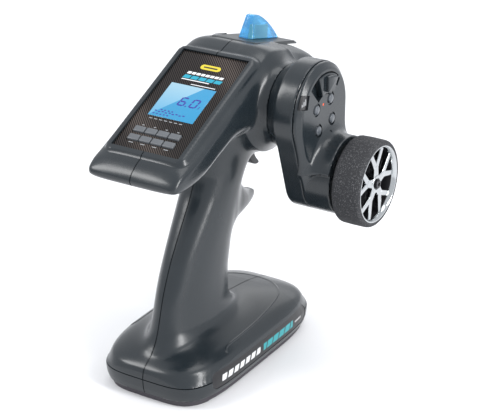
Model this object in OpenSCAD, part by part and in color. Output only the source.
/* [Base] */
// Length of the base, back to front
base_length = 154; // [140:1:185]
// Width of the base
base_width = 84; // [76:1:101]
// Height of the base where its side meets the crowned top
base_side_height = 21; // [19:1:26]
// Rise of the crowned top above the sides
base_crown = 13.5; // [8:0.5:16]
// Thickness of the plate under the base
plate_thickness = 4; // [3:0.5:5]

/* [Grip] */
// Half of the grip's width at the palm
grip_half_width = 15.5; // [14:0.5:19]
// Depth of the grip from spine to front at the palm
grip_depth = 59; // [50:1:66]

/* [Head] */
// Width of the head
head_width = 66; // [62:1:80]
// Tilt of the display panel from level
panel_tilt = 25.1; // [20:0.1:28]
// Width of the display panel
panel_width = 48; // [44:1:54]
// Length of the display panel up its slope
panel_length = 87.3; // [84:0.1:92]
// Thickness of the display panel
panel_thickness = 1.6; // [1.2:0.1:2]
// Width of the display window
window_width = 32.5; // [26:0.5:34]
// Height of the display window up the slope
window_height = 29.5; // [24:0.5:30]

/* [Keys] */
// Spacing of the panel keys across a row
key_pitch = 8.4; // [8:0.1:9]
// Length of a panel key up the slope
key_height = 4.8; // [4:0.1:5.2]
// How far a panel key can be pressed
key_travel = 0.8; // [0.5:0.1:1]
// How far a side button can be pressed
button_travel = 0.8; // [0.5:0.1:1]
// Radius of a side button
button_radius = 2.9; // [2.4:0.1:3.2]

/* [Steering pod] */
// Radius of the pod's upper round end
pod_top_radius = 31; // [29:0.5:33]
// Radius of the pod's lower round end and of the drum
drum_radius = 24; // [20:0.5:27]
// Distance of the pod's outer face from the middle of the body
pod_face_x = 66; // [64:0.5:70]
// How far the drum stands out of the pod's face
drum_length = 13.5; // [12:0.5:16]

/* [Wheel] */
// Outer diameter of the foam tyre
tyre_diameter = 56; // [48:1:68]
// Width of the foam tyre
tyre_width = 19.5; // [16:0.5:24]
// Outer diameter of the rim
rim_diameter = 50; // [40:1:52]
// Diameter of the wheel shaft
shaft_diameter = 6; // [5:0.5:7.5]

/* [Trigger] */
// Width of the trigger
trigger_width = 12; // [9:0.5:13]
// Diameter of the trigger's pin
trigger_pin_diameter = 3; // [2.5:0.5:4]

/* [Battery] */
// Diameter of one cell
cell_diameter = 14.5; // [10:0.5:15]
// Length of one cell
cell_length = 50.5; // [42:0.5:51]

/* [Antenna] */
// Height of the fin above the hatch
fin_height = 15; // [10:1:20]
// Length of the fin at its foot
fin_length = 33; // [28:1:36]
// Thickness of the fin at its foot
fin_thickness = 10.5; // [8:0.5:13]

/* [Fits] */
// Wall thickness of the mouldings
wall = 2.4; // [2:0.1:3]
// Radial gap between a turning shaft or pin and its hole
running_gap = 0.05; // [0.03:0.01:0.09]
// Gap round a key, button or lever in its opening
key_gap = 0.25; // [0.2:0.05:0.35]
// Gap between pieces that are dropped in
part_gap = 0.2; // [0.1:0.05:0.4]

/* [Hidden] */
$fn = 48;
PANEL_KEYS = [for (r = [1:2], c = [1:4]) str("key_", r, "_", c)];
SIDE_BUTTONS = [for (i = [1:4]) str("side_button_", i)];

eps = 0.01;
HW = base_width / 2;
HL = base_length / 2;
CROWN_TOP = base_side_height + base_crown;
HEAD_HALF = head_width / 2;

// Panel: lower edge of the panel's face and its slope
PANEL_Y = -68;
PANEL_Z = 164;
BEZEL = 1.3;
PANEL_FLOOR = 3.4;
BOARD_TOP = 5.2;
BOARD_THICK = 1.6;
WINDOW_LOW = 29.5;
KEY_ROW = [16.4, 9.4];
KEY_X0 = -13.6;

// Pod and wheel axes, both along X
POD_Y = 31;
POD_Z = 171;
WHEEL_Y = 37.5;
WHEEL_Z = 128;
COLLAR_R = pod_top_radius - 4.8;
COLLAR_X = 40;
LEG_X = 48;
SPLIT_X = pod_face_x - 5;
FACE_INSET = 3.6;
DRUM_X = pod_face_x + drum_length;
TYRE_X = DRUM_X + 3;
RIM_X = TYRE_X + tyre_width - 0.5;
SHAFT_R = shaft_diameter / 2;
BUSH_R = SHAFT_R + 2.6;

// Trigger pivot, along X
TRIG_Y = 50;
TRIG_Z = 143;
TRIG_HALF = trigger_width / 2;
TRIG_PIN_R = trigger_pin_diameter / 2;
CHEEK = 2;

// Antenna hatch: its back edge on the head's top, and its slope
HATCH_Y = 30;
HATCH_Z = 206.2;
HATCH_TILT = -13.5;
HATCH_LENGTH = 52;
HATCH_HALF = 17;
FIN_START = 15;

// Battery bay
BAY_HALF_X = 2 * cell_diameter + 2.2;
BAY_HALF_Y = cell_length + 3;
CELL_Z = plate_thickness + 1.6 + cell_diameter / 2;
CELL_PITCH = cell_diameter + 0.4;
CELL_MIDDLE = cell_length / 2 + 0.9;

DARK = [0.22, 0.245, 0.265];
BLACK = [0.07, 0.07, 0.08];
STEEL = [0.75, 0.76, 0.78];

// ---------- shape helpers ----------
function sgn(v) = v < 0 ? -1 : 1;
function pw(v, e) = sgn(v) * pow(abs(v), e);
function joined(lists) = [for (l = lists) each l];

// One level of a body that stands up: half width hx, from y0 to y1, belly at yc
function level(z, hx, y0, y1, n = 2.4, yc = undef, k = 40) =
    let (m = is_undef(yc) ? (y0 + y1) / 2 : yc)
    [for (i = [0:k - 1])
        let (a = 360 * i / k, s = pw(sin(a), 2 / n))
        [hx * pw(cos(a), 2 / n), m + s * (s < 0 ? m - y0 : y1 - m), z]];

// One upright cross-section of a body that lies along Y
function slice(y, hx, z0, z1, n = 5, k = 40) =
    let (m = (z0 + z1) / 2, h = (z1 - z0) / 2)
    [for (i = [0:k - 1])
        let (a = 360 * i / k)
        [hx * pw(cos(a), 2 / n), y, m + h * pw(sin(a), 2 / n)]];

// Skin over rings of equal point count
module skin(rings) {
    k = len(rings[0]);
    m = len(rings);
    walls = [for (j = [0:m - 2], i = [0:k - 1])
        let (a = j * k + i, b = j * k + (i + 1) % k)
        each [[a, a + k, b + k], [a, b + k, b]]];
    low = [for (i = [0:k - 1]) i];
    high = [for (i = [k - 1:-1:0]) (m - 1) * k + i];
    polyhedron(joined(rings), concat([low], walls, [high]), convexity = 6);
}

// A free-form moulding, taken as one surface
module moulded() {
    resize([0, 0, 0]) children();
}

// Points of a smooth curve with control points p
function blend_at(p, t) = len(p) == 1 ? p[0]
    : blend_at([for (i = [0:len(p) - 2]) p[i] * (1 - t) + p[i + 1] * t], t);
function curve(p, k = 8) = [for (i = [0:k]) blend_at(p, i / k)];

// Round tube of radius r along points p
function unit(v) = v / norm(v);
function ring_at(p, i, r, k) =
    let (d = unit(p[min(i + 1, len(p) - 1)] - p[max(i - 1, 0)]),
         u = unit(cross(d, abs(d[2]) < 0.9 ? [0, 0, 1] : [1, 0, 0])),
         v = cross(d, u))
    [for (j = [0:k - 1]) p[i] + r * (cos(360 * j / k) * u + sin(360 * j / k) * v)];
module tube(p, r, k = 6) {
    skin([for (i = [0:len(p) - 1]) ring_at(p, i, r, k)]);
}

// Solid that runs along X from x0 to x1 with a YZ outline
module along_x(x0, x1) {
    translate([x0, 0, 0]) rotate([90, 0, 90]) linear_extrude(height = x1 - x0) children();
}
module rod_x(x0, x1, y, z, r) {
    translate([x0, y, z]) rotate([0, 90, 0]) cylinder(h = x1 - x0, r = r);
}
module ring_x(x0, x1, y, z, r, hole) {
    difference() {
        rod_x(x0, x1, y, z, r);
        rod_x(x0 - 1, x1 + 1, y, z, hole);
    }
}
module on_panel() {
    translate([0, PANEL_Y, PANEL_Z]) rotate([panel_tilt, 0, 0]) children();
}
module panel_box(x0, x1, u0, u1, n0, n1) {
    on_panel() translate([x0, u0, n0]) cube([x1 - x0, u1 - u0, n1 - n0]);
}
module on_hatch() {
    translate([0, HATCH_Y, HATCH_Z]) rotate([HATCH_TILT, 0, 0]) children();
}
// Ring segment in the YZ plane round the pod's axis
module pod_sector(x0, x1, r0, r1, a0, a1) {
    arc = 4;
    outer = [for (a = [a0:arc:a1]) each [r1 * [cos(a), sin(a)]]];
    inner = [for (a = [a1:-arc:a0]) each [r0 * [cos(a), sin(a)]]];
    ends = [r1 * [cos(a1), sin(a1)], r0 * [cos(a1), sin(a1)]];
    last = [r0 * [cos(a0), sin(a0)]];
    translate([0, POD_Y, POD_Z])
        along_x(x0, x1) polygon(concat(outer, ends, inner, last));
}

// ---------- outer forms ----------
function base_levels(inset, z_low) =
    let (w = HW - inset, l = HL - inset, top = CROWN_TOP - inset, side = base_side_height - inset / 2)
    [level(z_low, w - 1.6, -l + 2, l - 2, 4.6, undef, 48),
     level(max(z_low + 1, 9), w - 0.4, -l + 0.6, l - 0.6, 4.6, undef, 48),
     level(14.5, w, -l, l, 4.6, undef, 48),
     level(side - 2, w, -l, l, 4.6, undef, 48),
     level(side + 1, w - 1.2, -l + 1.2, l - 1.2, 4.4, undef, 48),
     level(side + 0.3 * (top - side), w - 4.2, -l + 4.2, l - 4.2, 4.2, undef, 48),
     level(side + 0.58 * (top - side), w - 11, -l + 11.5, l - 11.5, 3.8, undef, 48),
     level(side + 0.82 * (top - side), w - 20, -l + 23, l - 23, 3.2, undef, 48),
     level(top, w - 33, -l + 44, l - 44, 2.6, undef, 48)];

// Grip levels: height, half width, back edge, front edge
GRIP_SHAPE = [
    [29, 1.58, -66, 22], [34, 1.34, -63, 18], [39, 1.18, -61, 14.5], [47, 1.06, -58, 11.5],
    [60, 1, -53.5, 11.5], [80, 1, -44.6, 14.4], [95, 1.03, -35.5, 18], [108, 1.06, -27, 21.5],
    [120, 1.1, -19.5, 25], [132, 1.2, -15, 31], [145, 1.42, -17, 42], [158, 1.74, -24, 52],
    [166, 1.9, -32, 58]];
grip_stretch = grip_depth - 59;
function grip_levels(inset) =
    [for (g = GRIP_SHAPE)
        let (y0 = g[2] + inset, y1 = g[3] + grip_stretch - inset)
        level(g[0], grip_half_width * g[1] - inset, y0, y1, 2.2, y0 + 0.6 * (y1 - y0), 40)];

function panel_top(y) = PANEL_Z + (y - PANEL_Y) * tan(panel_tilt) + BEZEL / cos(panel_tilt);
// Head slices: position along Y, share of the half width, underside, top
HEAD_SHAPE = [
    [99, 0.6, 160, 168], [96.5, 0.82, 154, 174], [91, 0.93, 149, 181], [85, 0.975, 146.6, 186.6],
    [78, 0.995, 145.5, 191.4], [68, 1, 145, 196.2], [55, 1, 146.4, 200.4], [38, 1, 150, 204.8],
    [28, 1, 153, 206.4],
    [19, 1, 156, 205], [12, 1, 158, panel_top(12)], [0, 1, 160, panel_top(0)],
    [-15, 1, 160, panel_top(-15)], [-34, 1, 154.5, panel_top(-34)],
    [-55, 1, 146.5, panel_top(-55)], [-69, 0.99, 145.5, panel_top(-69)],
    [-76, 0.975, 146, 160.2], [-82, 0.94, 147.5, 155.3], [-84, 0.9, 149.5, 153]];
function head_slices(inset) =
    [for (h = HEAD_SHAPE)
        let (y = h[0] > 0 ? h[0] - inset : h[0] + inset / 2)
        slice(y, HEAD_HALF * h[1] - inset, h[2] + min(inset, 0.4 * (h[3] - h[2])),
            h[3] - min(inset, 0.4 * (h[3] - h[2])), 5.4, 44)];

// Finger rest under the trigger: position along Y, half width, underside, top
REST_SHAPE = [[49, 4.5, 96, 98.8], [45, 6.5, 94.5, 100.4], [40, 8.4, 93, 102.6], [34, 10.2, 91.4, 106.4],
              [28, 11.8, 90, 112], [21, 13, 88, 119], [12, 13.4, 85, 122]];
// Trigger housing under the head
TRIGGER_BOX = [[74, 9, 150, 165], [70, 11.5, 143, 165], [62, 13, 138.5, 165], [48, 13.3, 137, 165],
               [34, 13.3, 138.5, 165], [24, 12, 143, 165]];

module body_form() {
    skin(base_levels(0, plate_thickness));
    skin(grip_levels(0));
    skin(head_slices(0));
    skin([for (r = REST_SHAPE) slice(r[0] + grip_stretch, r[1], r[2], r[3], 2.4, 28)]);
    skin([for (r = TRIGGER_BOX) slice(r[0], r[1], r[2], r[3], 6, 28)]);
    rod_x(20, COLLAR_X, POD_Y, POD_Z, COLLAR_R);
    translate([HEAD_HALF - 3, POD_Y, POD_Z]) rotate([0, 90, 0])
        cylinder(h = COLLAR_X - HEAD_HALF, r1 = COLLAR_R + 5, r2 = COLLAR_R);
}
module below_panel() {
    panel_box(-60, 60, -60, 120, -200, -PANEL_FLOOR);
}
module body_hollow() {
    difference() {
        skin(base_levels(wall, plate_thickness - 1));
        translate([-HW, -HL, -1]) cube([2 * HW, 2 * HL, plate_thickness + 1 - eps]);
    }
    translate([0, 0, plate_thickness - 1])
        linear_extrude(height = 1.5) base_outline(wall);
    skin(grip_levels(wall));
    intersection() {
        skin(head_slices(wall));
        below_panel();
    }
    translate([-TRIG_HALF - CHEEK - 1, 27, 139.5])
        cube([trigger_width + 2 * CHEEK + 2, 42, 20]);
    rod_x(18, COLLAR_X + 1, POD_Y, POD_Z, COLLAR_R - wall);
}
module base_outline(inset) {
    polygon([for (p = level(0, HW - 1.6 - inset, -HL + 2 + inset, HL - 2 - inset, 4.6, undef, 72))
        [p[0], p[1]]]);
}

// Screw posts that hold the two halves together: [y, z]
POSTS = [[70, 182], [-66, 154.5], [8, 110], [-26, 60]];
SCREW_R = 1.5;
POST_R = 3.4;
HEAD_R = 2.9;

module post_material() {
    for (p = POSTS) rod_x(-40, 40, p[0], p[1], POST_R);
}
module body_cuts() {
    // panel pocket, display opening and key opening
    panel_box(-panel_width / 2 - part_gap / 2, panel_width / 2 + part_gap / 2, -part_gap / 2,
        panel_length + part_gap / 2, -panel_thickness, 20);
    panel_box(-window_width / 2 - 1, window_width / 2 + 1, WINDOW_LOW - 1,
        WINDOW_LOW + window_height + 1, -10, 1);
    panel_box(KEY_X0 - key_pitch / 2 - 1, KEY_X0 + 3.5 * key_pitch + 1, KEY_ROW[1] - key_height / 2 - 1,
        KEY_ROW[0] + key_height / 2 + 1, -10, 1);
    // trigger slot
    translate([-TRIG_HALF - 0.6, 31.5, 130]) cube([trigger_width + 1.2, 38, 12]);
    // hatch pocket and antenna opening
    on_hatch() translate([-HATCH_HALF - part_gap / 2, -part_gap / 2, -1.2])
        cube([2 * HATCH_HALF + part_gap, HATCH_LENGTH + part_gap, 12]);
    on_hatch() translate([-4, FIN_START + 4, -8]) cube([8, fin_length - 12, 12]);
    // charge jack and power switch openings, label recesses
    rod_x(-HW - 5, -HW + 12, JACK_Y, JACK_Z, JACK_R + part_gap / 2);
    translate([-HEAD_HALF - 5, SWITCH_Y - 6, SWITCH_Z - 3]) cube([12, 12, 6]);
    for (s = [-1, 1]) label_bed(s);
    // grip pad recess
    pad_solid(0);
}

// Half of the hand-held body: side = -1 left, 1 right
module half_shell(side) {
    x0 = side < 0 ? -60 : 0;
    color(DARK) moulded() difference() {
        intersection() {
            union() {
                difference() {
                    body_form();
                    body_hollow();
                }
                intersection() {
                    body_form();
                    post_material();
                }
            }
            translate([x0, -120, plate_thickness]) cube([60, 260, 240]);
        }
        body_cuts();
        for (p = POSTS) {
            rod_x(-60, 12, p[0], p[1], SCREW_R + part_gap / 2);
            rod_x(-60, -7, p[0], p[1], HEAD_R + part_gap);
        }
    }
}
module left_shell() {
    half_shell(-1);
}
module right_shell() {
    half_shell(1);
}

// Screws that join the halves, entered from the left
module shell_screws() {
    color(STEEL) for (p = POSTS) difference() {
        union() {
            rod_x(-7, 11, p[0], p[1], SCREW_R);
            rod_x(-9.2, -7 - eps, p[0], p[1], HEAD_R);
            rod_x(-7 - 2 * eps, -7 + eps, p[0], p[1], SCREW_R);
        }
        translate([-9.5, p[0], p[1]]) cube([2.2, 4, 0.8], center = true);
        translate([-9.5, p[0], p[1]]) cube([2.2, 0.8, 4], center = true);
    }
}

// ---------- base ----------
SCREW_SPOTS = [for (x = [-1, 1], y = [-1, 1]) [x * (HW - 28), y * (HL - 12)]];
FOOT_SPOTS = [for (x = [-1, 1], y = [-1, 1]) [x * (HW - 15.5), y * (HL - 14.5)]];
DOOR_HALF_Y = BAY_HALF_Y + 2.6;
DOOR_LEFT = -BAY_HALF_X - 3;
module base_plate() {
    color([0.16, 0.165, 0.175]) difference() {
        union() {
            linear_extrude(height = plate_thickness - part_gap) base_outline(2);
            translate([0, 0, plate_thickness - part_gap - eps]) linear_extrude(height = 3)
                difference() {
                    base_outline(wall + 2);
                    base_outline(2 * wall + 2);
                }
        }
        translate([-BAY_HALF_X, -BAY_HALF_Y, -1]) cube([2 * BAY_HALF_X, 2 * BAY_HALF_Y, 12]);
        // channel that the door slides in, open on the right
        translate([DOOR_LEFT - part_gap, -DOOR_HALF_Y - part_gap, -1])
            cube([2 * HW, 2 * (DOOR_HALF_Y + part_gap), 3.2]);
        for (p = SCREW_SPOTS) translate([p[0], p[1], -1]) {
            cylinder(h = 12, r = SCREW_R + part_gap / 2);
            cylinder(h = 2.8, r = HEAD_R + part_gap);
        }
        for (p = FOOT_SPOTS) translate([p[0], p[1], -1]) cylinder(h = 1.8, r = 4.5 + part_gap / 2);
        rod_x(JACK_X - 5, JACK_X + 17, JACK_Y, JACK_Z, JACK_R + 2 * part_gap);
    }
}
module battery_door() {
    color([0.16, 0.165, 0.175]) difference() {
        union() {
            intersection() {
                translate([DOOR_LEFT, -DOOR_HALF_Y, 0.4]) cube([2 * HW, 2 * DOOR_HALF_Y, 1.6]);
                linear_extrude(height = 4) base_outline(2);
            }
            for (x = [-14, 0, 14]) translate([x - 0.6, -BAY_HALF_Y + 3, 2 - eps])
                cube([1.2, 2 * BAY_HALF_Y - 6, 0.8]);
        }
        // finger grooves
        for (i = [0:4]) translate([BAY_HALF_X - 12 + 3 * i, -9, 0]) cube([1.4, 18, 0.9]);
    }
}
module battery_holder() {
    t = 1.4;
    color(BLACK) difference() {
        translate([-BAY_HALF_X + part_gap, -BAY_HALF_Y + part_gap, plate_thickness])
            cube([2 * (BAY_HALF_X - part_gap), 2 * (BAY_HALF_Y - part_gap), cell_diameter * 0.62 + t + 1]);
        for (i = [-1.5:1:1.5], j = [-1, 1])
            translate([i * CELL_PITCH, j * CELL_MIDDLE - cell_length / 2 - 0.3, CELL_Z]) {
                rotate([-90, 0, 0]) cylinder(h = cell_length + 0.6, r = cell_diameter / 2 + 0.15);
                translate([-cell_diameter / 2 - 0.15, 0, 0])
                    cube([cell_diameter + 0.3, cell_length + 0.6, 20]);
            }
    }
}
module battery_cells() {
    color([0.75, 0.5, 0.2]) for (i = [-1.5:1:1.5], j = [-1, 1])
        translate([i * CELL_PITCH, j * CELL_MIDDLE, CELL_Z]) rotate([90, 0, 0])
            translate([0, 0, -cell_length / 2 + 0.6]) {
                cylinder(h = cell_length - 2.4, r = cell_diameter / 2);
                cylinder(h = cell_length - 1.2, r = 2.7);
            }
}
module battery_contacts() {
    color(STEEL) for (i = [-1.5:1:1.5], j = [-1, 1])
        translate([i * CELL_PITCH - 4, j * (BAY_HALF_Y - 2.4) - 0.2, CELL_Z + cell_diameter * 0.5 + 0.4])
            cube([8, 0.4, 5]);
}
module rubber_feet() {
    color(BLACK) for (p = FOOT_SPOTS) translate([p[0], p[1], 0]) cylinder(h = 0.8, r = 4.5);
}
module base_screws() {
    color(STEEL) for (p = SCREW_SPOTS) difference() {
        union() {
            translate([p[0], p[1], 0.6]) cylinder(h = 1.2, r = HEAD_R);
            translate([p[0], p[1], 0.6]) cylinder(h = 9, r = SCREW_R);
        }
        translate([p[0], p[1], 0.6]) cube([4, 0.8, 1.4], center = true);
        translate([p[0], p[1], 0.6]) cube([0.8, 4, 1.4], center = true);
    }
}

// Charge jack low on the left side, near the back
JACK_Y = -58;
JACK_Z = 10.5;
JACK_R = 4.2;
JACK_BORE = 1.8;
JACK_X = -HW + 4.4;
module charge_jack() {
    color(BLACK) difference() {
        rod_x(JACK_X, JACK_X + 15, JACK_Y, JACK_Z, JACK_R);
        rod_x(JACK_X - 1, JACK_X + 12, JACK_Y, JACK_Z, JACK_BORE);
    }
}

// Long labels let into both sides of the base, bent to its shape
LABEL_LENGTH = 116;
LABEL_HEIGHT = 11.4;
LABEL_Z = 13.6;
LABEL_Y = 1;
module label_prism(side, grow) {
    r = LABEL_HEIGHT / 2 + grow;
    half = LABEL_LENGTH / 2 + grow;
    along_x(side > 0 ? 0 : -HW - 5, side > 0 ? HW + 5 : 0) {
        for (e = [-1, 1]) translate([LABEL_Y + e * (half - r), LABEL_Z]) circle(r = r, $fn = 24);
        translate([LABEL_Y - half + r, LABEL_Z - r]) square([2 * (half - r), 2 * r]);
    }
}
module label_bed(side) {
    difference() {
        label_prism(side, part_gap / 2);
        skin(base_levels(1, 1));
    }
}
module side_labels() {
    color([0.05, 0.05, 0.06]) for (s = [-1, 1]) moulded() intersection() {
        label_prism(s, 0);
        difference() {
            skin(base_levels(0.3, 1));
            skin(base_levels(0.95, 0));
        }
    }
}

// Rubber pad let into the front of the grip
PAD_WIDTH = 0.62;
module pad_solid(shrink) {
    intersection() {
        difference() {
            skin(grip_levels(-0.3 + shrink));
            skin(grip_levels(1.1));
        }
        translate([-grip_half_width * PAD_WIDTH + shrink, -30, 42 + shrink])
            cube([2 * grip_half_width * PAD_WIDTH - 2 * shrink, 80, 44 - 2 * shrink]);
        translate([-40, 1 + shrink, 30]) cube([80, 60, 70]);
    }
}
module grip_pad() {
    color([0.13, 0.14, 0.15]) moulded() difference() {
        intersection() {
            skin(grip_levels(0));
            pad_solid(part_gap);
        }
        skin(grip_levels(1));
    }
}

// ---------- display panel and keys ----------
module face_panel() {
    color(BLACK) on_panel() difference() {
        translate([-panel_width / 2, 0, -panel_thickness]) cube([panel_width, panel_length, panel_thickness]);
        translate([-window_width / 2 - 0.05, WINDOW_LOW - 0.05, -5])
            cube([window_width + 0.1, window_height + 0.1, 10]);
        for (u = KEY_ROW) translate([KEY_X0 - key_pitch / 2, u - key_height / 2 - key_gap, -5])
            cube([4 * key_pitch, key_height + 2 * key_gap, 10]);
    }
}
module display_lens() {
    color([0.3, 0.7, 0.95, 0.5])
        panel_box(-window_width / 2, window_width / 2, WINDOW_LOW, WINDOW_LOW + window_height, -1.5, -0.2);
}
module display_module() {
    color([0.2, 0.6, 0.9]) panel_box(-window_width / 2 - 0.7, window_width / 2 + 0.7, WINDOW_LOW - 0.7,
        WINDOW_LOW + window_height + 0.7, -BOARD_TOP + 0.05, -1.7);
}
module panel_key(row, col) {
    w = key_pitch - 2 * key_gap;
    color([0.55, 0.57, 0.6]) on_panel()
        translate([KEY_X0 + (col - 1) * key_pitch, KEY_ROW[row - 1], 0]) {
            translate([-w / 2, -key_height / 2, -2.6]) cube([w, key_height, 3]);
            hull() {
                translate([-w / 2, -key_height / 2, 0.4]) cube([w, key_height, 0.1]);
                translate([-w / 2 + 0.6, -key_height / 2 + 0.6, 1.1]) cube([w - 1.2, key_height - 1.2, 0.1]);
            }
        }
}
module keypad_mat() {
    lift = -BOARD_TOP + 0.05;
    color([0.3, 0.3, 0.32]) on_panel() {
        translate([KEY_X0 - key_pitch / 2 - 1.6, KEY_ROW[1] - key_height / 2 - 2, lift])
            cube([4 * key_pitch + 3.2, KEY_ROW[0] - KEY_ROW[1] + key_height + 4, 1]);
        for (u = KEY_ROW, c = [0:3])
            translate([KEY_X0 + c * key_pitch, u, lift + 0.9]) cylinder(h = 0.7, r = 1.6);
    }
}
module main_board() {
    color([0.05, 0.3, 0.15]) difference() {
        panel_box(-panel_width / 2 + 1, panel_width / 2 - 1, 2.5, panel_length - 3, -BOARD_TOP - BOARD_THICK,
            -BOARD_TOP);
        for (x = [-1, 1], u = [8, panel_length - 8]) on_panel()
            translate([x * (panel_width / 2 - 3.5), u, -12]) cylinder(h = 12, r = 1.3);
    }
}
// Chips and connectors under the board: [x, u, width, length, height]
CHIPS = [[0, 46, 12, 12, 1.6], [-14, 30, 8, 5, 1.4], [13, 62, 10, 7, 2.2], [-13, 64, 9, 12, 3],
         [12, 34, 5, 9, 1.6], [0, 20, 14, 6, 4]];
module board_parts() {
    top = -BOARD_TOP - BOARD_THICK - 0.05;
    color(BLACK) on_panel() for (c = CHIPS)
        translate([c[0] - c[2] / 2, c[1] - c[3] / 2, top - c[4]]) cube([c[2], c[3], c[4]]);
}
module buzzer() {
    color(BLACK) on_panel() translate([0, 74, -BOARD_TOP - BOARD_THICK - 0.05 - 6]) difference() {
        cylinder(h = 6, r = 6);
        translate([0, 0, -1]) cylinder(h = 3, r = 1.2);
    }
}

// ---------- antenna ----------
module antenna_hatch() {
    color([0.2, 0.22, 0.24]) on_hatch() difference() {
        hull() {
            translate([-HATCH_HALF, 0, -1.2]) cube([2 * HATCH_HALF, HATCH_LENGTH, 1.2]);
            translate([-HATCH_HALF + 1, 1, 0]) cube([2 * HATCH_HALF - 2, HATCH_LENGTH - 2, 0.7]);
        }
        translate([-2.6, FIN_START + 5.5, -3]) cube([5.2, fin_length - 15, 6]);
    }
}
// Side outline of the fin: a steep back, a short crest and a long curved front
function fin_outline(lift) = concat(
    [[0, lift]],
    curve([[0, 1], [1.2, fin_height * 0.6], [2.2, fin_height - 0.6]], 6),
    curve([[2.2, fin_height - 0.6], [3.6, fin_height + 0.7], [9, fin_height]], 5),
    curve([[9, fin_height], [fin_length * 0.58, fin_height * 0.84], [fin_length * 0.84, fin_height * 0.42],
           [fin_length, 1]], 9),
    [[fin_length, lift]]);
module antenna_fin() {
    t = fin_thickness;
    color([0.2, 0.6, 0.95, 0.7]) on_hatch() translate([0, FIN_START, 0.75]) difference() {
        intersection() {
            translate([-t / 2, 0, 0]) rotate([90, 0, 90]) linear_extrude(height = t) polygon(fin_outline(0));
            hull() {
                translate([-t / 2, -1, -0.1]) cube([t, fin_length + 2, 0.2]);
                translate([-t / 4, -1, fin_height + 1]) cube([t / 2, fin_length + 2, 0.2]);
            }
        }
        // slot that the antenna element stands in
        translate([-1.3, 6, -1]) cube([2.6, fin_length - 16, fin_height * 0.62 + 1]);
    }
}
module antenna_element() {
    color([0.75, 0.6, 0.2]) on_hatch()
        translate([-0.8, FIN_START + 7, -4]) cube([1.6, fin_length - 18, fin_height * 0.6 + 4]);
}

// ---------- power switch on the left side of the head ----------
SWITCH_Y = 44;
SWITCH_Z = 178;
SWITCH_TRAVEL = 4;
module power_switch() {
    color(BLACK) difference() {
        translate([-HEAD_HALF + 3.2, SWITCH_Y - 8, SWITCH_Z - 5]) cube([7, 16, 10]);
        translate([-HEAD_HALF + 2.2, SWITCH_Y - 5.5, SWITCH_Z - 2]) cube([4, 11, 4]);
    }
}
module power_knob() {
    h = SWITCH_TRAVEL / 2;
    color([0.1, 0.1, 0.1]) {
        translate([-HEAD_HALF - 0.8, SWITCH_Y - 3.5 - h, SWITCH_Z - 2.6]) cube([3.6, 7, 5.2]);
        translate([-HEAD_HALF + 2.7, SWITCH_Y - 1.5 - h, SWITCH_Z - 1.6]) cube([2.6, 3, 3.2]);
    }
}

// ---------- trigger ----------
function trigger_blade() = concat(
    curve([[44, 147], [38, 143], [36, 136], [36.4, 128], [40.5, 118.5], [48, 115.6], [52.4, 117]], 12),
    curve([[52.4, 117], [52.6, 119.6], [49, 120.4], [45, 124], [43.6, 131], [46, 138], [50, 139]], 12));
function trigger_prong() = concat(
    curve([[52, 139], [56.5, 137], [58, 130], [59, 124.4]], 7),
    [[65.6, 123.6]],
    curve([[65.6, 123.6], [66.2, 131], [65, 139], [60, 147], [52, 148]], 9));
module trigger() {
    color(BLACK) difference() {
        union() {
            along_x(-TRIG_HALF, TRIG_HALF) polygon(trigger_blade());
            along_x(-TRIG_HALF, TRIG_HALF) polygon(trigger_prong());
            rod_x(-TRIG_HALF, TRIG_HALF, TRIG_Y, TRIG_Z, 6.4);
        }
        rod_x(-TRIG_HALF - 1, TRIG_HALF + 1, TRIG_Y, TRIG_Z, TRIG_PIN_R + running_gap);
        // groove that holds the return spring
        ring_x(TRIG_HALF - 2.6, TRIG_HALF + 1, TRIG_Y, TRIG_Z, 5.2, 3.4);
    }
}
module trigger_pin() {
    color(STEEL) rod_x(-TRIG_HALF - CHEEK - 0.3, TRIG_HALF + CHEEK + 0.3, TRIG_Y, TRIG_Z, TRIG_PIN_R);
}
module trigger_bracket() {
    inner = TRIG_HALF + 0.3;
    color([0.2, 0.2, 0.22]) difference() {
        union() {
            for (s = [-1, 1]) translate([s > 0 ? inner : -inner - CHEEK + 0.3, TRIG_Y - 8, TRIG_Z - 3])
                cube([CHEEK - 0.3, 16, 14]);
            translate([-inner - CHEEK + 0.3, TRIG_Y - 8, TRIG_Z + 8.4])
                cube([2 * inner + 2 * CHEEK - 0.6, 16, 2.6]);
        }
        rod_x(-30, 30, TRIG_Y, TRIG_Z, TRIG_PIN_R + 0.02);
    }
}
// A wound torsion spring round an axis along X
function coil(x0, x1, y, z, r, turns, step = 30) =
    [for (a = [0:step:360 * turns]) [x0 + (x1 - x0) * a / (360 * turns), y + r * cos(a), z + r * sin(a)]];
module trigger_spring() {
    color(STEEL) tube(coil(TRIG_HALF - 2.1, TRIG_HALF - 0.5, TRIG_Y, TRIG_Z, 4.3, 2, 36), 0.35, 5);
}
// Sensor board on the bracket, over the trigger's magnet
module trigger_sensor() {
    color([0.1, 0.25, 0.5]) {
        translate([-TRIG_HALF, TRIG_Y - 7, TRIG_Z + 11.05]) cube([trigger_width, 14, 1.2]);
        translate([-2, TRIG_Y - 1.5, TRIG_Z + 12.3]) cube([4, 3, 1]);
    }
}

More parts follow.
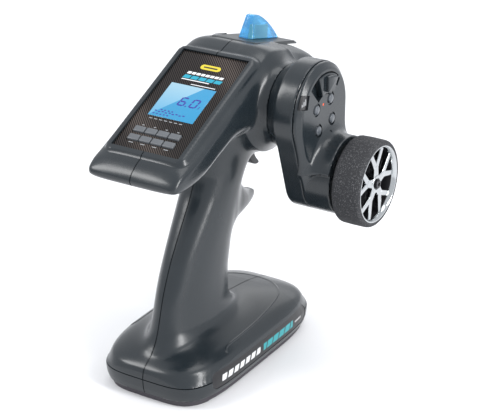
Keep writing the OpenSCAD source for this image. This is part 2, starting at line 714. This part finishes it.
// ---------- steering pod ----------
// Outline of two round ends joined by their common tangents
function leaning() = atan2(WHEEL_Y - POD_Y, POD_Z - WHEEL_Z);
module pod_outline(inset) {
    r1 = pod_top_radius - inset;
    r2 = drum_radius - inset;
    d = norm([WHEEL_Y - POD_Y, WHEEL_Z - POD_Z]);
    g = asin((r1 - r2) / d);
    translate([POD_Y, POD_Z]) rotate(-90 + leaning()) {
        circle(r = r1, $fn = 72);
        translate([d, 0]) circle(r = r2, $fn = 72);
        polygon([r1 * [sin(g), cos(g)], [d, 0] + r2 * [sin(g), cos(g)],
                 [d, 0] + r2 * [sin(g), -cos(g)], r1 * [sin(g), -cos(g)]]);
    }
}
module pod_housing() {
    color(DARK) difference() {
        union() {
            rod_x(COLLAR_X, LEG_X + 1, POD_Y, POD_Z, COLLAR_R);
            along_x(LEG_X, SPLIT_X) pod_outline(0);
        }
        along_x(LEG_X + wall, SPLIT_X + 1) pod_outline(wall);
        rod_x(COLLAR_X - 1, LEG_X + wall + 1, POD_Y, POD_Z, COLLAR_R - wall);
    }
}

// Side buttons: [y, z] on the pod's face
BUTTONS = [[38.4, 177.6], [21.1, 175.1], [40.4, 163.7], [23.7, 160.8]];
LIGHTS = [[29.4, 176.3, 0.9], [36.3, 157, 0.7]];
LEVER_FLOOR = pod_face_x - 3.4;
LEVER_R = [12, 24.6];
LEVER_A = [56, 110];
LEVER_SWING = 18;
// Plate whose edge steps in towards the face
STEPS = 3;
module stepped_plate(inset, x0, x1) {
    rise = FACE_INSET / STEPS;
    for (i = [0:STEPS - 1])
        along_x(i == 0 ? x0 : x1 - (STEPS - i + 0.2) * rise, x1 - (STEPS - 1 - i) * rise)
            pod_outline(inset + i * FACE_INSET / (STEPS - 1));
}
module pod_cover() {
    color(DARK) difference() {
        union() {
            difference() {
                stepped_plate(0, SPLIT_X, pod_face_x);
                stepped_plate(wall, SPLIT_X - 1, pod_face_x - wall);
            }
            pod_sector(SPLIT_X + 0.2, LEVER_FLOOR + 1, LEVER_R[0] - 3, LEVER_R[1] + 2.6, LEVER_A[0] - 10,
                LEVER_A[1] + LEVER_SWING + 6);
        }
        // lever pocket and its arc slot
        pod_sector(LEVER_FLOOR, pod_face_x + 5, LEVER_R[0] - 0.6, LEVER_R[1] + 0.6, LEVER_A[0] - 5,
            LEVER_A[1] + LEVER_SWING + 3);
        pod_sector(SPLIT_X - 2, pod_face_x, 17, 20, LEVER_A[0] + 6, LEVER_A[0] + 22 + LEVER_SWING);
        for (b = BUTTONS) {
            rod_x(SPLIT_X - 2, pod_face_x + 1, b[0], b[1], button_radius + key_gap);
            rod_x(SPLIT_X - 2, SPLIT_X + 2, b[0], b[1], button_radius + 1.1 + key_gap);
            rod_x(pod_face_x - 0.8, pod_face_x + 1, b[0], b[1], button_radius + 1.4);
        }
        for (l = LIGHTS) rod_x(SPLIT_X - 2, pod_face_x + 1, l[0], l[1], l[2] + part_gap / 4);
        // opening that the wheel drum stands in
        rod_x(SPLIT_X - 2, pod_face_x + 1, WHEEL_Y, WHEEL_Z, DRUM_HOLE_R);
        icon_block(part_gap / 2, 6);
    }
}
// Drum that carries the wheel's bushes, with a hood over its upper side
DRUM_HOLE_R = drum_radius - 5;
HOOD_OVER = 2.6;
module wheel_drum() {
    flange_x = pod_face_x + part_gap / 4;
    color(DARK) difference() {
        union() {
            rod_x(flange_x, DRUM_X, WHEEL_Y, WHEEL_Z, drum_radius);
            rod_x(SPLIT_X + 0.2, flange_x + 1, WHEEL_Y, WHEEL_Z, DRUM_HOLE_R - part_gap);
            hood(drum_radius + HOOD_OVER, flange_x);
        }
        difference() {
            rod_x(SPLIT_X + 2.6, DRUM_X - wall, WHEEL_Y, WHEEL_Z, DRUM_HOLE_R - part_gap - wall);
            rod_x(SPLIT_X, SPLIT_X + 4, WHEEL_Y, WHEEL_Z, BUSH_R + 2.4);
        }
        rod_x(SPLIT_X - 2, DRUM_X + 2, WHEEL_Y, WHEEL_Z, BUSH_R);
    }
}
module hood(r, x0) {
    rounds = [for (a = [-12:6:160]) r * [cos(a), sin(a)]];
    translate([0, WHEEL_Y, WHEEL_Z]) along_x(x0, DRUM_X) polygon(concat([[0, 0]], rounds));
}
// Small lit window let into the pod's bevelled edge
ICON_Y = 7;
ICON_Z = 184;
module icon_block(grow, tall) {
    translate([pod_face_x - 3, ICON_Y, ICON_Z]) rotate([-14, 0, 0])
        translate([0, -4 - grow, -4.4 - grow]) cube([tall, 8 + 2 * grow, 8.8 + 2 * grow]);
}
module icon_window() {
    color(BLACK) intersection() {
        icon_block(0, 2);
        along_x(SPLIT_X, pod_face_x) pod_outline(0.8);
    }
}
module side_button(i) {
    b = BUTTONS[i - 1];
    x1 = pod_face_x + 0.3;
    color([0.3, 0.32, 0.35]) translate([0, b[0], b[1]]) rotate([90, 0, 90]) rotate_extrude()
        polygon(concat(
            [[0, SPLIT_X - 0.6], [button_radius, SPLIT_X - 0.6], [button_radius, SPLIT_X + 0.6],
             [button_radius + 1.1, SPLIT_X + 0.6], [button_radius + 1.1, SPLIT_X + 1.4],
             [button_radius, SPLIT_X + 1.4]],
            [for (a = [0:15:75]) [button_radius * cos(a), x1 + 0.9 * sin(a)]],
            [[0, x1 + 0.9]]));
}
module pod_board() {
    x1 = SPLIT_X - 2.6;
    color([0.05, 0.3, 0.15]) difference() {
        rod_x(x1 - 1.6, x1, POD_Y, POD_Z, COLLAR_R - 1);
        translate([x1 - 3, POD_Y - 40, POD_Z - 60]) cube([6, 80, 44]);
    }
}
module pod_switches() {
    x0 = SPLIT_X - 2.55;
    color(BLACK) for (b = BUTTONS) {
        translate([x0, b[0] - 2, b[1] - 2]) cube([0.6, 4, 4]);
        rod_x(x0 + 0.5, x0 + 1, b[0], b[1], 1.2);
    }
}
module rate_lever() {
    color([0.18, 0.19, 0.21]) {
        pod_sector(LEVER_FLOOR + 0.15, pod_face_x + 0.6, LEVER_R[0], LEVER_R[1], LEVER_A[0], LEVER_A[1]);
        pod_sector(pod_face_x + 0.5, pod_face_x + 1.4, LEVER_R[0] + 1.5, LEVER_R[1] - 1.5, LEVER_A[0] + 4,
            LEVER_A[1] - 28);
        pod_sector(SPLIT_X - 0.6, LEVER_FLOOR + 0.3, 17.4, 19.6, LEVER_A[0] + 8, LEVER_A[0] + 20);
    }
}
module status_lights() {
    color([0.1, 0.8, 0.2]) for (l = LIGHTS) rod_x(SPLIT_X - 0.4, pod_face_x - 0.2, l[0], l[1], l[2]);
}

// ---------- wheel ----------
module wheel_bushes() {
    color([0.8, 0.65, 0.35]) {
        ring_x(SPLIT_X + 0.2, SPLIT_X + 4, WHEEL_Y, WHEEL_Z, BUSH_R - 0.01, SHAFT_R + running_gap);
        ring_x(DRUM_X - wall, DRUM_X + 0.6, WHEEL_Y, WHEEL_Z, BUSH_R - 0.01, SHAFT_R + running_gap);
    }
}
module wheel_shaft() {
    color(STEEL) difference() {
        rod_x(SPLIT_X - 8, RIM_X - 4, WHEEL_Y, WHEEL_Z, SHAFT_R);
        rod_x(RIM_X - 14, RIM_X, WHEEL_Y, WHEEL_Z, 1.6);
    }
}
module steering_sensor() {
    color([0.1, 0.25, 0.5]) {
        ring_x(LEG_X + wall + 0.1, SPLIT_X - 1, WHEEL_Y, WHEEL_Z, 8.5, SHAFT_R + running_gap);
        translate([LEG_X + wall + 0.1, WHEEL_Y - 5, WHEEL_Z - 14]) cube([3, 10, 6.5]);
    }
}
module centring_spring() {
    color(STEEL) tube(coil(pod_face_x, DRUM_X - wall - 1, WHEEL_Y, WHEEL_Z, SHAFT_R + 3, 4, 36), 0.6, 5);
}
SPOKES = 5;
SPOKE_WIDTH = 3.2;
RIM_WALL = 2.6;
module bar(p, q, w) {
    d = unit(q - p);
    m = [-d[1], d[0]] * w / 2;
    polygon([p + m, p - m, q - m, q + m]);
}
module wheel_rim() {
    r = rim_diameter / 2;
    in_r = r - RIM_WALL;
    color([0.82, 0.83, 0.85]) difference() {
        union() {
            // barrel with an outer lip
            translate([TYRE_X + 0.6, WHEEL_Y, WHEEL_Z]) rotate([0, 90, 0]) rotate_extrude($fn = 72)
                polygon([[in_r, 0], [r - 0.6, 0], [r - 0.6, RIM_X - TYRE_X - 2.4], [r, RIM_X - TYRE_X - 1.6],
                         [r, RIM_X - TYRE_X - 0.6], [in_r, RIM_X - TYRE_X - 0.6]]);
            // spokes that fork near the rim
            translate([0, WHEEL_Y, WHEEL_Z]) for (i = [0:SPOKES - 1]) along_x(RIM_X - 4.4, RIM_X - 1.4)
                rotate(90 + 360 * i / SPOKES) {
                    bar([4, 0], [in_r * 0.56, 0], SPOKE_WIDTH * 1.2);
                    bar([in_r * 0.5, 0], [(in_r + 1) * cos(17), (in_r + 1) * sin(17)], SPOKE_WIDTH * 0.85);
                    bar([in_r * 0.5, 0], [(in_r + 1) * cos(17), -(in_r + 1) * sin(17)], SPOKE_WIDTH * 0.85);
                }
            rod_x(TYRE_X + 3, RIM_X - 1.2, WHEEL_Y, WHEEL_Z, 5.6);
        }
        rod_x(TYRE_X, RIM_X - 4, WHEEL_Y, WHEEL_Z, SHAFT_R + 0.02);
        rod_x(TYRE_X, RIM_X + 1, WHEEL_Y, WHEEL_Z, 1.6 + part_gap);
    }
}
module foam_tyre() {
    r = tyre_diameter / 2;
    h = rim_diameter / 2 - 0.55;
    w = tyre_width;
    c = 1.6;
    color([0.12, 0.12, 0.13]) translate([TYRE_X, WHEEL_Y, WHEEL_Z]) rotate([0, 90, 0])
        rotate_extrude($fn = 72) polygon(concat(
            [[h, 0], [r - c - 0.6, 0]],
            [for (a = [-75:15:0]) [r - 0.6 - c + c * cos(a), c + c * sin(a)]],
            [[r, w / 2]],
            [for (a = [0:15:75]) [r - 0.6 - c + c * cos(a), w - c + c * sin(a)]],
            [[r - c - 0.6, w], [r - c - 1, w], [h + 0.65, w - 0.8], [h + 0.65, w - 2.6], [h, w - 3.6]]));
}
module wheel_bolt() {
    color([0.2, 0.2, 0.22]) difference() {
        union() {
            rod_x(RIM_X - 12, RIM_X - 1, WHEEL_Y, WHEEL_Z, 1.5);
            rod_x(RIM_X - 1.15, RIM_X + 0.4, WHEEL_Y, WHEEL_Z, 3.4);
        }
        translate([RIM_X - 0.6, WHEEL_Y, WHEEL_Z]) rotate([0, 90, 0]) cylinder(h = 3, r = 1.4, $fn = 6);
    }
}

// ---------- lead from the battery holder up the grip to the board ----------
LEAD_POINTS = [[0, -40, 22], [0, -34, 27], [0, -26, 33], [0, -18, 45], [0, -13, 62], [0, -8, 80], [0, -3, 98],
               [0, -1, 112], [4, 1, 126], [6, 2, 138], [8, 0, 150], [9, -6, 158], [6, -15, 166],
               [3, -21, 172], [2, -22.4, 174.2]];
module battery_lead() {
    color([0.6, 0.08, 0.06]) tube(LEAD_POINTS, 1.3, 8);
}

left_shell();
right_shell();
base_plate();
battery_door();
battery_holder();
battery_cells();
battery_contacts();
rubber_feet();
base_screws();
shell_screws();
charge_jack();
side_labels();
grip_pad();
face_panel();
display_lens();
display_module();
keypad_mat();
main_board();
board_parts();
buzzer();
for (r = [1:2], c = [1:4]) panel_key(r, c);
antenna_hatch();
antenna_fin();
antenna_element();
power_switch();
power_knob();
trigger();
trigger_pin();
trigger_bracket();
trigger_spring();
trigger_sensor();
pod_housing();
pod_cover();
pod_board();
pod_switches();
wheel_drum();
for (i = [1:4]) side_button(i);
rate_lever();
icon_window();
status_lights();
wheel_bushes();
wheel_shaft();
steering_sensor();
centring_spring();
wheel_rim();
foam_tyre();
wheel_bolt();
battery_lead();
